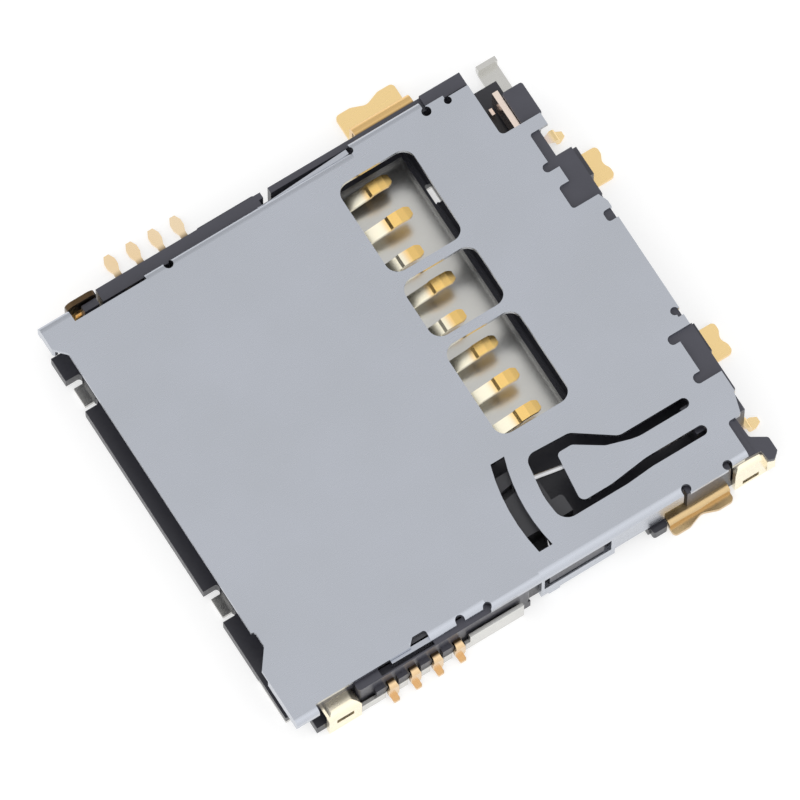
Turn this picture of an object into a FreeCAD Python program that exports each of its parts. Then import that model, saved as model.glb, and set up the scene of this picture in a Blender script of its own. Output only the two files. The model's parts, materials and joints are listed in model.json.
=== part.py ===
import FreeCAD, Part
import math
import os

V = FreeCAD.Vector

# A push-push card socket for a circuit board, in millimetres.
# +Z is up from the board and the card goes in along +Y. Left is -X, right is +X, front is -Y.
# The origin is on the board, under the middle of the cover's width and length.

# Sheet, strip and fits
SHEET = 0.15
PLATE_T = 0.15
STRIP_T = 0.12
TAB_T = 0.15
BEND_R = 0.22
STRIP_BEND = 0.18
FIT = 0.05
SLACK = 0.02

# Heights
FLOOR_TOP = 0.45
SLOT_H = 1.25
COVER_UNDER = FLOOR_TOP + SLOT_H
HEIGHT = COVER_UNDER + SHEET

# Width: the wall, the card with its row of pads, the slider and the right wall
CONTACT_COUNT = 8
CONTACT_PITCH = 1.10
WALL_TO_CARD = 0.20
EDGE_TO_PAD = 0.77
PAD_TO_EDGE = 2.53
CARD_GAP = 0.12
SLIDER_W = 1.53
SLIDER_TO_FACE = 0.35
CARD_W = EDGE_TO_PAD + (CONTACT_COUNT - 1) * CONTACT_PITCH + PAD_TO_EDGE
RIGHT = (WALL_TO_CARD + CARD_W + CARD_GAP + SLIDER_W + SLIDER_TO_FACE) / 2
LEFT = -RIGHT
CARD_LEFT = LEFT + WALL_TO_CARD
CARD_RIGHT = CARD_LEFT + CARD_W

# Length: the cover's corners reach the front, its rear edge is behind the rear wall
LENGTH = 15.17
FRONT = -LENGTH / 2
REAR = LENGTH / 2
LIP_INSET = 0.055
LIP = FRONT + LIP_INSET
WALL_IN = REAR - 1.135
WALL_OUT = REAR - 0.025

# Contacts: eight beams in one row, four tails out of each side
BEAM_W = 0.38
LEAD_W = 0.34
BEAM_L = 1.51
BEAM_TIP_L = 0.36
KNEE_BEHIND = 0.24
KNEE_RISE = 0.20
CREST_Y = REAR - 4.925
# Nose of a beam, from its crease to its tip: place behind the crest and rise over the floor
NOSE = ((-0.35, 0.38), (-0.27, 0.45), (-0.02, 0.475), (0.19, 0.46), (BEAM_TIP_L, 0.42))
SHORT_CONTACTS = (3, 5)
SHORT_BY = 0.33
TAIL_W = 0.34
TAIL_NECK_W = 0.20
TAIL_PITCH = 0.71
TAIL_Y1 = FRONT + 5.085
TAIL_POINT = 0.18
TAIL_PADDLE = 0.36
TAIL_LEFT_TIP = 1.50
TAIL_LEFT_DROP = 0.28
TAIL_RIGHT_TIP = 0.40
TAIL_RIGHT_DROP = 0.19
TAIL_RIGHT_STEP = 0.15
TAIL_RIGHT_EXIT = FLOOR_TOP + 0.48
MID_LEAD = FLOOR_TOP - STRIP_T / 2

# Windows over the contacts, and the pit under them
WINDOW_GROUPS = ((1, 3), (4, 5), (6, 8))
WINDOW_AHEAD = 1.23
WINDOW_BEHIND = 1.12
WINDOW_LEFT = 0.27
WINDOW_RIGHT = 0.54
WINDOW_R = 0.38
PIT_AHEAD = 0.15
PIT_BEHIND = 1.06
PIT_SIDE = 0.50

# Cam pin: a bent wire that turns in the rear wall, with its other leg in the slider's track
PIN_DIA = 0.16
PIN_SIDES = 12
PIN_BEND_R = 0.13
PIN_REACH = 5.45
PIN_LEAN = 10.58
PIN_SWING = 6.8
PIN_FROM_CARD = 0.28
PIVOT_X = CARD_RIGHT + PIN_FROM_CARD
PIVOT_Y = WALL_IN
PIVOT_DEPTH = 0.66
PIN_Z = COVER_UNDER - PIN_DIA / 2 - 0.01

# Slider, its cam block, its latch leaf and its spring
TRAVEL = 3.6
TRACK_DEPTH = 0.40
TRACK_CLEAR = 0.04
CAM_BEHIND = 1.0
CAM_AHEAD = 0.75
CAM_SETBACK = 0.35
NOSE_STEP = 1.30
LATCH_BAY = 1.95
LATCH_T = 0.08
LATCH_W = 0.55
SLIDER_X0 = CARD_RIGHT + CARD_GAP
SLIDER_X1 = SLIDER_X0 + SLIDER_W
SLIDER_Z0 = FLOOR_TOP + FIT
SLIDER_TOP = PIN_Z - PIN_DIA / 2 - 0.08
RIB_W = 0.13
RIB_H = 0.21
SPRING_R = 0.38
SPRING_WIRE = 0.14
SPRING_TURNS = 7
SPRING_CLEAR = 0.04
SPRING_SEAT = 0.06
SPRING_L = 8.05
SPRING_X = SLIDER_X1 - 0.55
SPRING_Z = SLIDER_Z0 + SPRING_SEAT + SPRING_CLEAR + SPRING_R
POCKET_FRONT = WALL_IN - SPRING_L

# Cover: places along its edges, from the front or from the rear
CORNER_BACK = 0.325
COVER_FRONT = FRONT + CORNER_BACK
COVER_CORE_IN = 0.60
LEFT_CORNER = FRONT + 0.965
LEFT_WALL = FRONT + 3.265
LEFT_BULGE = REAR - 5.225
LEFT_EAR = REAR - 2.885
LEFT_NECK = REAR - 2.165
LEFT_END = REAR - 1.465
RIGHT_CORNER = FRONT + 0.725
RIGHT_HEX = FRONT + 3.785
RIGHT_STEP = FRONT + 6.165
RIGHT_LATCH = REAR - 7.335
RIGHT_SKIRT = REAR - 4.965
RIGHT_TAB = REAR - 3.365
RIGHT_EAR = REAR - 2.635
RIGHT_WALL = REAR - 1.315
RIGHT_END = REAR - 0.665
BULGE_OUT = 0.24
NECK_IN = 0.18
HEX_IN = 0.24
STEP_IN = 0.14
EAR_OUT = 0.08
CUT_R = 0.14

# Cover: how far down its walls reach, from its top or to just over the board
DROP_SHORT = 0.35
DROP_BULGE = 0.43
DROP_CORNER = 0.60
DROP_FRONT = 0.50
DROP_TAB = 0.80
DROP_STEP = 0.65
WALL_FOOT = 0.15
LATCH_FOOT = 0.20

# Cover: the slot round the cam pin's tongue and the curved slot ahead of it
ARM_W = 0.31
ARM_LEFT = 0.47
ARM_RIGHT = 0.45
ARM_END = 0.25
PAD_LEFT = 1.48
PAD_RIGHT = 0.67
PAD_FRONT = 0.44
PAD_L = 1.57
PAD_NECK_L = 3.13
TONGUE_LEFT = 1.09
TONGUE_RIGHT = 0.44
TONGUE_FRONT = 1.24
ARC_AHEAD = 0.16
ARC_W = 0.42
ARC_LEFT = 1.78
ARC_RIGHT = 1.04

# Housing
RAIL_LEFT_W = 0.43
RAIL_LEFT_DOWN = 0.28
RAIL_LEFT_FRONT = FRONT + 1.985
RAIL_LEFT_REAR = LEFT_END + 0.04
RAIL_RIGHT_DOWN = 0.15
RAIL_RIGHT_FRONT = FRONT + 1.965
RAIL_RIGHT_GAP = FRONT + 7.485
SIDE_LUMP = 0.07
SIDE_LUMP_FRONT = FRONT + 5.235
SIDE_LUMP_REAR = FRONT + 7.135
BLOCK_R = 0.10
CORNER_BLOCK_OUT = 0.42
CORNER_BLOCK_REAR = REAR + 0.105
DOWEL_X = LEFT + 0.72
RIB_BEHIND = 0.10
RIB_T = 0.06

# Front tabs of the plate and the slots beside them in the lip
FRONT_TAB_W = 0.60
FRONT_TAB_LEFT = CARD_LEFT + 1.12
FRONT_TAB_RIGHT = CARD_RIGHT - 2.74
LIP_SLOT_W = 0.21
LIP_SLOT_L = 0.45
PLATE_WALL_OUT = 0.12
PLATE_WALL_LOW = FLOOR_TOP + 0.17
PLATE_WALL_HIGH = FLOOR_TOP + 0.58

# Solder tabs and hold-downs
TAB_BEND = 0.25
TAB_LOBE = 0.17
TAB_LEFT_FRONT = REAR - 4.755
TAB_LEFT_L = 1.89
TAB_LEFT_DROP = 0.73
TAB_LEFT_TIP = 1.58
TAB_RIGHT_FRONT = REAR - 3.305
TAB_RIGHT_L = 1.95
TAB_RIGHT_DROP = 0.13
TAB_RIGHT_TIP = 0.44
REAR_TAB_W = 1.02
REAR_TAB_DROP = 0.12
REAR_TAB_TIP = 0.93
REAR_TAB_LEFT = LEFT + 2.96
REAR_TAB_RIGHT = RIGHT - 4.20
LEDGE_OUT = 0.24
LEDGE_TOP = COVER_UNDER - 0.45
HOLD_SLOT_END = 0.25
HOLD_SLOT_H = 0.26
HOLD_CORNER_R = 0.22
HOLD_LEFT_DROP = 0.35
HOLD_RIGHT_DROP = 0.12
HOLD_REAR_DROP = 0.10
EAR_T = 0.12
EAR_FOOT = FLOOR_TOP + 0.25
BLOCK_FOOT = COVER_UNDER - 0.22

# Card-detect switch
SWITCH_TAIL = 0.36
SWITCH_TAIL_LONG = 0.47
SWITCH_DROP = 0.10
SWITCH_BLADE_X = LEFT + 2.17
SWITCH_LEAD_X = RIGHT - 1.18
SWITCH_T = 0.10
SWITCH_FLANGE = 0.18
SWITCH_Y = REAR - 0.865
SWITCH_BLADE_L = 1.80
SWITCH_NOSE = 0.10
BUS_W = 0.16
BUS_TOP = FLOOR_TOP - 0.12
BUS_STEP_X = RIGHT - 3.65


def box(x0, x1, y0, y1, z0, z1):
    """A block between two corners."""
    return Part.makeBox(x1 - x0, y1 - y0, z1 - z0, V(x0, y0, z0))


def post(x, y, radius, z0, z1):
    """An upright cylinder."""
    return Part.makeCylinder(radius, z1 - z0, V(x, y, z0), V(0, 0, 1))


def fuse(shapes):
    """One solid out of overlapping or touching shapes."""
    first = shapes[0]
    joined = first.fuse(shapes[1:]) if len(shapes) > 1 else first
    return joined.removeSplitter()


def rounded_wire(corners):
    """A closed wire in the XY plane through (x, y, radius) corners, each rounded by its radius."""
    count = len(corners)
    ends = []
    for i in range(count):
        x, y, radius = corners[i]
        here = V(x, y, 0)
        before = V(corners[i - 1][0], corners[i - 1][1], 0) - here
        after = V(corners[(i + 1) % count][0], corners[(i + 1) % count][1], 0) - here
        room = min(before.Length, after.Length) * 0.48
        before.normalize()
        after.normalize()
        half = math.acos(max(-1.0, min(1.0, before.dot(after)))) / 2
        if radius <= 0 or abs(half - math.pi / 2) < 1e-6:
            ends.append((here, None, here))
            continue
        reach = min(radius / math.tan(half), room)
        radius = reach * math.tan(half)
        middle = before + after
        middle.normalize()
        mid = here + middle * (radius / math.sin(half) - radius)
        ends.append((here + before * reach, mid, here + after * reach))
    edges = []
    for i in range(count):
        start, mid, end = ends[i]
        if mid is not None:
            edges.append(Part.Arc(start, mid, end).toShape())
        following = ends[(i + 1) % count][0]
        if end.distanceToPoint(following) > 1e-7:
            edges.append(Part.LineSegment(end, following).toShape())
    return Part.Wire(edges)


def prism(corners, z0, z1):
    """An upright prism on a rounded outline."""
    face = Part.Face(rounded_wire(corners))
    face.translate(V(0, 0, z0))
    return face.extrude(V(0, 0, z1 - z0))


def rounded_box(x0, x1, y0, y1, z0, z1, radius):
    """A block with round upright edges."""
    return prism([(x0, y0, radius), (x1, y0, radius), (x1, y1, radius), (x0, y1, radius)], z0, z1)


def strip_outline(path, radius, thickness, sharp=()):
    """The side view of a bent strip: its centre line, thickened, and round outside each bend.
    Bends numbered in sharp stay square: they are moulded in, where nothing shows."""
    left = []
    right = []
    last = len(path) - 1
    for i, (u, v) in enumerate(path):
        here = V(u, v, 0)
        ahead = V(*path[i + 1], 0) - here if i < last else here - V(*path[i - 1], 0)
        behind = here - V(*path[i - 1], 0) if i > 0 else ahead
        ahead = ahead.normalize()
        behind = behind.normalize()
        normal = V(-ahead.y - behind.y, ahead.x + behind.x, 0)
        normal.normalize()
        stretch = thickness / 2 / normal.dot(V(-ahead.y, ahead.x, 0))
        turn = behind.x * ahead.y - behind.y * ahead.x
        left_r, right_r = (0, radius) if turn > 0 else (radius, 0)
        if i in (0, last) or i in sharp or abs(turn) < 1e-6:
            left_r = right_r = 0
        a = here + normal * stretch
        b = here - normal * stretch
        left.append((a.x, a.y, left_r))
        right.append((b.x, b.y, right_r))
    return left + right[::-1]


def strip_across_y(path, radius, thickness, y0, y1, sharp=()):
    """A strip bent in the XZ plane and as wide as y0 to y1."""
    face = Part.Face(rounded_wire(strip_outline(path, radius, thickness, sharp)))
    face.rotate(V(0, 0, 0), V(1, 0, 0), 90)
    face.translate(V(0, y1, 0))
    return face.extrude(V(0, y0 - y1, 0))


def strip_across_x(path, radius, thickness, x0, x1):
    """A strip bent in the YZ plane and as wide as x0 to x1."""
    return side_prism(strip_outline(path, radius, thickness), x0, x1)


def side_prism(corners, x0, x1):
    """A prism along X on a rounded outline that is given as (y, z, radius)."""
    face = Part.Face(rounded_wire(corners))
    face.rotate(V(0, 0, 0), V(1, 0, 0), 90)
    face.rotate(V(0, 0, 0), V(0, 0, 1), 90)
    face.translate(V(x0, 0, 0))
    return face.extrude(V(x1 - x0, 0, 0))


def strip_upright(path, thickness, z0, z1):
    """A strip that stands on edge along a path in plan."""
    face = Part.Face(rounded_wire(strip_outline(path, thickness, thickness)))
    face.translate(V(0, 0, z0))
    return face.extrude(V(0, 0, z1 - z0))


def track(start, end, width, z0, z1):
    """An upright slot with round ends from one point to another."""
    run = V(end[0] - start[0], end[1] - start[1], 0)
    body = Part.makeBox(run.Length, width, z1 - z0, V(0, -width / 2, z0))
    body.rotate(V(0, 0, 0), V(0, 0, 1), math.degrees(math.atan2(run.y, run.x)))
    body.translate(V(start[0], start[1], 0))
    return fuse([body, post(*start, width / 2, z0, z1), post(*end, width / 2, z0, z1)])


def contact_x(number):
    """The middle of a contact's beam, counted from 1 at the left."""
    return CARD_LEFT + EDGE_TO_PAD + (number - 1) * CONTACT_PITCH


def tail_y(number):
    """The middle of a contact's tail. The outer contacts have the rearmost tails."""
    half = CONTACT_COUNT // 2
    step = number - 1 if number <= half else CONTACT_COUNT - number
    return TAIL_Y1 - step * TAIL_PITCH


def right_contacts():
    """The contacts whose tails leave on the right."""
    return range(CONTACT_COUNT // 2 + 1, CONTACT_COUNT + 1)


def windows():
    """Left and right edge of each window, from the contacts that it shows."""
    return [(contact_x(a) - WINDOW_LEFT, contact_x(b) + WINDOW_RIGHT) for a, b in WINDOW_GROUPS]


def pin_tip(swing):
    """Where the cam pin's tip stands when the pin has swung by so many degrees."""
    angle = math.radians(PIN_LEAN - swing)
    return (PIVOT_X - PIN_REACH * math.sin(angle), PIVOT_Y - PIN_REACH * math.cos(angle))


TIP_X, TIP_Y = pin_tip(0)
SLIDER_REAR = TIP_Y + CAM_BEHIND
CAM_FRONT = TIP_Y - TRAVEL - CAM_AHEAD
SLIDER_FRONT = CAM_FRONT - LATCH_BAY


# Cover


def flat_edge(side, y0, y1, reach):
    """A flat stretch of the cover's long edge, as far out as reach."""
    core = side * (RIGHT - COVER_CORE_IN)
    edge = side * reach
    return box(min(core, edge), max(core, edge), y0, y1, COVER_UNDER, HEIGHT)


def bent_edge(side, y0, y1, reach, bottom):
    """A stretch of the long edge that is bent down into a wall as far as bottom."""
    core = side * (RIGHT - COVER_CORE_IN)
    wall = side * (reach - SHEET / 2)
    level = HEIGHT - SHEET / 2
    return strip_across_y([(core, level), (wall, level), (wall, bottom)], BEND_R, SHEET, y0, y1)


def left_edges():
    """The left side, front to rear: corner, notch, wall, bulge over the solder tab, ear, neck."""
    return [
        bent_edge(-1, FRONT, LEFT_CORNER, RIGHT + BULGE_OUT - SLACK, HEIGHT - DROP_CORNER),
        flat_edge(-1, LEFT_CORNER, LEFT_WALL, RIGHT - NECK_IN),
        bent_edge(-1, LEFT_WALL, LEFT_BULGE, RIGHT, FLOOR_TOP + WALL_FOOT),
        bent_edge(-1, LEFT_BULGE, LEFT_EAR, RIGHT + BULGE_OUT, HEIGHT - DROP_BULGE),
        flat_edge(-1, LEFT_EAR, LEFT_NECK, RIGHT + SLACK),
        flat_edge(-1, LEFT_NECK, LEFT_END, RIGHT - EAR_OUT),
    ]


def right_edges():
    """The right side, front to rear: corner, notch, guide wall, latch wall, ear, rear wall."""
    foot = RIGHT_LATCH + 0.25
    return [
        bent_edge(1, FRONT, RIGHT_CORNER, RIGHT, HEIGHT - DROP_SHORT),
        flat_edge(1, RIGHT_CORNER, RIGHT_HEX, RIGHT - HEX_IN),
        bent_edge(1, RIGHT_HEX, RIGHT_STEP, RIGHT - STEP_IN, HEIGHT - DROP_STEP),
        bent_edge(1, RIGHT_STEP, RIGHT_LATCH, RIGHT, HEIGHT - DROP_SHORT),
        bent_edge(1, RIGHT_LATCH, RIGHT_SKIRT, RIGHT, LATCH_FOOT),
        bent_edge(1, foot, foot + 0.36, RIGHT, LATCH_FOOT / 4),
        bent_edge(1, RIGHT_SKIRT, RIGHT_TAB, RIGHT, FLOOR_TOP + WALL_FOOT),
        bent_edge(1, RIGHT_TAB, RIGHT_EAR, RIGHT, HEIGHT - DROP_TAB),
        flat_edge(1, RIGHT_EAR, RIGHT_WALL, RIGHT + EAR_OUT),
        bent_edge(1, RIGHT_WALL, RIGHT_END, RIGHT, HEIGHT - DROP_SHORT),
    ]


def fork_slot(z0, z1):
    """The U-shaped slot round the tongue that keeps the cam pin down in its track."""
    half = ARM_W / 2
    top = PIVOT_Y - ARM_END
    left = PIVOT_X - ARM_LEFT
    right = PIVOT_X + ARM_RIGHT
    pad_left = PIVOT_X - PAD_LEFT
    pad_right = PIVOT_X + PAD_RIGHT
    front = TIP_Y + PAD_FRONT
    pad_rear = front + PAD_L
    neck = TIP_Y + PAD_NECK_L
    outer = [
        (left - half, top, 0),
        (left - half, neck, 0.35),
        (pad_left + 0.06, pad_rear, 0.35),
        (pad_left, front + 0.19, 0.30),
        (PIVOT_X - 0.22, front, 2.2),
        (pad_right, front + 0.08, 0.42),
        (pad_right, pad_rear + 0.60, 2.0),
        (right + half, neck + 0.28, 2.0),
        (right + half, top, 0),
    ]
    tongue_left = PIVOT_X - TONGUE_LEFT
    tongue_right = PIVOT_X + TONGUE_RIGHT
    tip = TIP_Y + TONGUE_FRONT
    tongue = [
        (left + half, top + 1, 0),
        (left + half, neck + 0.38, 1.2),
        (tongue_left + 0.51, neck - 0.47, 0.30),
        (tongue_left, pad_rear - 0.12, 0.20),
        (tongue_left, tip + 0.17, 0.13),
        (tongue_right, tip, 0.18),
        (tongue_right, pad_rear + 0.20, 2.0),
        (right - half, neck + 0.28, 2.0),
        (right - half, top + 1, 0),
    ]
    slot = prism(outer, z0, z1).cut(prism(tongue, z0 - 1, z1 + 1))
    return [slot, post(left, top, half, z0, z1), post(right, top, half, z0, z1)]


def arc_slot(z0, z1):
    """The curved slot on the cam pin's own swing, ahead of the pin's tip."""
    radius = PIN_REACH + ARC_AHEAD
    centre = V(PIVOT_X + 0.03, PIVOT_Y - 0.12, z0)
    ring = Part.makeCylinder(radius + ARC_W / 2, z1 - z0, centre)
    ring = ring.cut(Part.makeCylinder(radius - ARC_W / 2, z1 - z0, centre))
    front = centre.y - radius - ARC_W
    return ring.common(box(PIVOT_X - ARC_LEFT, PIVOT_X + ARC_RIGHT, front, front + 2, z0, z1))


def front_notch(z0, z1):
    """What is cut from the front edge, between the two corners that reach further."""
    far = FRONT - 1
    return prism([(CARD_LEFT, far, 0), (CARD_LEFT + 0.34, FRONT, 0.1),
                  (CARD_LEFT + 0.67, COVER_FRONT, 0.1), (CARD_RIGHT - 0.88, COVER_FRONT, 0),
                  (CARD_RIGHT - 0.84, COVER_FRONT + 0.10, 0.05),
                  (CARD_RIGHT - 0.38, COVER_FRONT + 0.10, 0.08), (CARD_RIGHT + 0.19, FRONT, 0.2),
                  (CARD_RIGHT + 0.80, far, 0)], z0, z1)


def rear_notches(z0, z1):
    """What is cut from the rear edge, from left to right, and its round relief corners."""
    tab_left = REAR_TAB_LEFT
    tab_right = REAR_TAB_RIGHT
    cuts = [
        (LEFT - 1, LEFT + 1.82, LEFT_END, 0.15),
        (tab_left - 0.75, tab_left + 0.34, REAR - 0.795, 0.08),
        (tab_left + 0.19, tab_left + 0.46, REAR - 1.025, 0.13),
        (tab_left + 0.18, tab_left + 1.04, REAR - 0.595, 0),
        (tab_left + 0.96, tab_left + 1.71, REAR - 0.945, 0.10),
        (tab_left + 2.21, tab_left + 2.55, REAR - 0.315, 0.10),
        (tab_right + 0.17, tab_right + 1.77, REAR - 0.505, 0),
        (tab_right + 0.17, tab_right + 0.46, REAR - 0.785, 0.13),
        (tab_right + 1.46, tab_right + 1.77, REAR - 0.785, 0.13),
    ]
    tools = [rounded_box(x0, x1, y0, REAR + 1, z0, z1, r) for x0, x1, y0, r in cuts]
    corner = RIGHT - 1.10
    tools.append(prism([(corner - 0.64, REAR - 0.03, 0), (corner, REAR - 0.22, 0.08),
                        (corner, RIGHT_END, 0.12), (RIGHT + 1, RIGHT_END, 0), (RIGHT + 1, REAR + 1, 0),
                        (corner - 0.64, REAR + 1, 0)], z0, z1))
    hook = tab_right - 0.36
    tools.append(post(hook, REAR - 0.165, 0.12, z0, z1))
    tools.append(box(hook - SLACK, hook + 0.20, REAR - 0.165, REAR + 1, z0, z1))
    tools.append(box(LEFT + 1.81, LEFT + 2.22, REAR - 0.205, REAR + 1, z0, z1))
    for x, y, across, along in ((LEFT + 2.21, REAR, -0.10, 0.10), (tab_left + 1.70, REAR, 0.30, 0.12),
                                (tab_left - 0.74, REAR - SLACK, -0.10, 0.10)):
        wedge = [(x, y - along, 0), (x, y + 1, 0), (x + across, y + 1, 0), (x + across, y, 0)]
        tools.append(prism(wedge, z0, z1))
    return tools


def bend_reliefs(z0, z1):
    """A round cut at each place where a bent stretch of an edge begins or ends."""
    left = [(LEFT + 0.17, LEFT_NECK, 0.11), (LEFT + 0.13, LEFT_EAR + 0.05, CUT_R),
            (LEFT + 0.12, LEFT_WALL + 0.74, CUT_R), (LEFT - 0.02, LEFT_BULGE, 0.10)]
    right = [(RIGHT - 0.06, RIGHT_WALL, CUT_R), (RIGHT - 0.08, RIGHT_EAR, CUT_R),
             (RIGHT - 0.13, RIGHT_STEP, 0.12), (RIGHT - 0.19, RIGHT_STEP - 0.83, CUT_R)]
    tools = []
    for x, y, radius in left + right:
        outside = x + 0.6 if x > 0 else x - 0.6
        tools.append(post(x, y, radius, z0, z1))
        tools.append(box(min(x, outside), max(x, outside), y - FIT, y + FIT, z0, z1))
    return tools


def hex_notch(z0, z1):
    """The notch at the root of the side leaf."""
    out = RIGHT + 0.4
    inner = RIGHT - 0.46
    rear = RIGHT_HEX + 0.58
    return prism([(inner, rear, 0.08), (inner, RIGHT_HEX + 0.18, 0.05), (inner + 0.18, RIGHT_HEX, 0),
                  (out, RIGHT_HEX, 0), (out, rear, 0)], z0, z1)


def side_leaves():
    """The two leaves of the walls: one guides the slider, the other locks over the left rail."""
    right_x = RIGHT - STEP_IN - SHEET / 2
    left_x = LEFT + SHEET / 2
    guide = [(right_x, RIGHT_STEP - 1.38), (right_x, RIGHT_STEP - 1.83),
             (SLIDER_X1 + FIT + SHEET / 2, RIGHT_STEP - 3.03)]
    lock = [(left_x, LEFT_BULGE - 3.0), (left_x, LEFT_BULGE - 2.6),
            (left_x - SHEET, LEFT_BULGE - FIT)]
    return [strip_upright(guide, SHEET, COVER_UNDER - 0.36, COVER_UNDER - SLACK),
            strip_upright(lock, SHEET, COVER_UNDER - 0.75, COVER_UNDER)]


def cover():
    """The stamped steel cover: top, bent walls, windows, cam tongue and side leaves."""
    core = RIGHT - COVER_CORE_IN
    sheet = box(-core, core, FRONT, REAR, COVER_UNDER, HEIGHT)
    fold = HEIGHT - DROP_FRONT
    folds = [box(LEFT - BULGE_OUT + SHEET, CARD_LEFT + 0.40, FRONT, FRONT + SHEET, fold, COVER_UNDER),
             box(CARD_RIGHT + 0.50, RIGHT - FIT, FRONT, FRONT + SHEET, fold, COVER_UNDER)]
    shell = fuse([sheet] + folds + left_edges() + right_edges())
    low = COVER_UNDER - FIT
    z0 = 0
    z1 = HEIGHT + 1
    tools = [rounded_box(a, b, CREST_Y - WINDOW_AHEAD, CREST_Y + WINDOW_BEHIND, low, z1, WINDOW_R)
             for a, b in windows()]
    tools += fork_slot(low, z1)
    tools.append(arc_slot(low, z1))
    tools.append(front_notch(z0, z1))
    tools += rear_notches(z0, z1)
    tools += bend_reliefs(LATCH_FOOT, z1)
    tools.append(hex_notch(z0, z1))
    tools.append(box(RIGHT - 0.5, RIGHT + 0.4, RIGHT_LATCH + 0.10, RIGHT_SKIRT - 0.12,
                     FLOOR_TOP + 0.27, COVER_UNDER - 0.22))
    return fuse([shell.cut(tools)] + side_leaves())


# Contacts


def foot_outline(tip, root, y):
    """A tail's plan view: a narrow tip, a paddle behind it and a neck up to the root."""
    side = 1 if tip > root else -1
    half = TAIL_W / 2
    neck = TAIL_NECK_W / 2
    outline = [(tip, neck * 0.8), (tip - side * TAIL_POINT, half), (tip - side * TAIL_PADDLE, half),
               (tip - side * (TAIL_PADDLE + TAIL_POINT), neck), (root, neck)]
    return [(x, y - w, 0) for x, w in outline] + [(x, y + w, 0) for x, w in outline[::-1]]


def riser_outline(x, y):
    """A right tail seen from the side: broad in the middle and narrow at both ends."""
    half = TAIL_W / 2
    neck = TAIL_NECK_W / 2
    top = TAIL_RIGHT_EXIT + STRIP_T
    side = [(-1, neck), (0.10, neck), (0.35, half), (0.70, half), (top, neck)]
    return [(y - w, z, 0) for z, w in side] + [(y + w, z, 0) for z, w in side[::-1]]


def contact(number):
    """One contact, stamped from one strip: tail, lead in the floor, and the sprung beam."""
    x = contact_x(number)
    y = tail_y(number)
    half = TAIL_W / 2
    if number <= CONTACT_COUNT // 2:
        tip = LEFT - TAIL_LEFT_TIP
        drop = LEFT - TAIL_LEFT_DROP
        tail_path = [(x, MID_LEAD), (drop, MID_LEAD), (drop, STRIP_T / 2), (tip, STRIP_T / 2)]
        moulded_in = ()
    else:
        tip = RIGHT + TAIL_RIGHT_TIP
        drop = RIGHT + TAIL_RIGHT_DROP
        step = RIGHT - TAIL_RIGHT_STEP
        tail_path = [(x, MID_LEAD), (step, MID_LEAD), (step, TAIL_RIGHT_EXIT), (drop, TAIL_RIGHT_EXIT),
                     (drop, STRIP_T / 2), (tip, STRIP_T / 2)]
        moulded_in = (1, 2)
    tail = strip_across_y(tail_path, STRIP_BEND, STRIP_T, y - half, y + half, moulded_in)
    tail = tail.common(prism(foot_outline(tip, x, y), -1, HEIGHT))
    if number > CONTACT_COUNT // 2:
        tail = tail.common(side_prism(riser_outline(x, y), x, tip))
    back = SHORT_BY if number in SHORT_CONTACTS else 0
    crest = CREST_Y - back
    root = CREST_Y - BEAM_L
    lead = box(x - LEAD_W / 2, x + LEAD_W / 2, y - half, root, FLOOR_TOP - STRIP_T, FLOOR_TOP)
    end = crest + BEAM_TIP_L
    path = [(root - 0.45, MID_LEAD), (root, MID_LEAD), (root + KNEE_BEHIND, FLOOR_TOP + KNEE_RISE)]
    path += [(crest + behind, FLOOR_TOP + rise) for behind, rise in NOSE]
    beam = strip_across_x(path, 0, STRIP_T, x - BEAM_W / 2, x + BEAM_W / 2)
    wide = BEAM_W / 2
    side = [(wide, y), (wide, end - 0.7 * wide), (0.8 * wide, end - 0.2 * wide), (0.4 * wide, end + FIT)]
    plan = [(x - w, at, 0) for w, at in side] + [(x + w, at, 0) for w, at in side[::-1]]
    return fuse([tail, lead, beam.common(prism(plan, -1, HEIGHT))])


# Solder tabs and hold-downs


def tab_outline(tip, root, a, b, lobe):
    """A wide foot's plan view: two round lobes with a shallow valley between them."""
    side = 1 if tip > root else -1
    third = (b - a) / 3
    valley = tip - side * lobe
    return [(root, a, 0), (tip, a, 0.14), (tip, a + third * 0.8, 0.25), (valley, a + third * 1.5, 0.3),
            (tip, b - third * 0.8, 0.25), (tip, b, 0.14), (root, b, 0)]


def side_tab(inner, drop, tip, level, y0, y1):
    """A wide solder tab on a long side: flange in the housing, bend, foot on the board."""
    path = [(inner, level), (drop, level), (drop, TAB_T / 2), (tip, TAB_T / 2)]
    tab = strip_across_y(path, TAB_BEND, TAB_T, y0, y1)
    return tab.common(prism(tab_outline(tip, inner, y0, y1, TAB_LOBE), -1, HEIGHT))


def solder_tab_left():
    """The wide tab on the left, under the cover's bulge."""
    rear = TAB_LEFT_FRONT + TAB_LEFT_L
    level = COVER_UNDER - 0.55
    return side_tab(LEFT - 0.12, LEFT - TAB_LEFT_DROP, LEFT - TAB_LEFT_TIP, level, TAB_LEFT_FRONT, rear)


def solder_tab_right():
    """The wide tab on the right, ahead of the rear corner."""
    rear = TAB_RIGHT_FRONT + TAB_RIGHT_L
    level = FLOOR_TOP - FIT
    return side_tab(RIGHT - SHEET - FIT, RIGHT + TAB_RIGHT_DROP, RIGHT + TAB_RIGHT_TIP, level,
                    TAB_RIGHT_FRONT, rear)


def solder_tab_rear(x0):
    """One of the two tabs on the rear wall."""
    inner = WALL_OUT - 0.25
    drop = WALL_OUT + REAR_TAB_DROP
    tip = WALL_OUT + REAR_TAB_TIP
    level = FLOOR_TOP - FIT
    path = [(inner, level), (drop, level), (drop, TAB_T / 2), (tip, TAB_T / 2)]
    tab = strip_across_x(path, TAB_BEND, TAB_T, x0, x0 + REAR_TAB_W)
    lobes = [(y, x, r) for x, y, r in tab_outline(tip, inner, x0, x0 + REAR_TAB_W, TAB_LOBE * 0.75)]
    return tab.common(prism(lobes, -1, HEIGHT))


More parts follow.
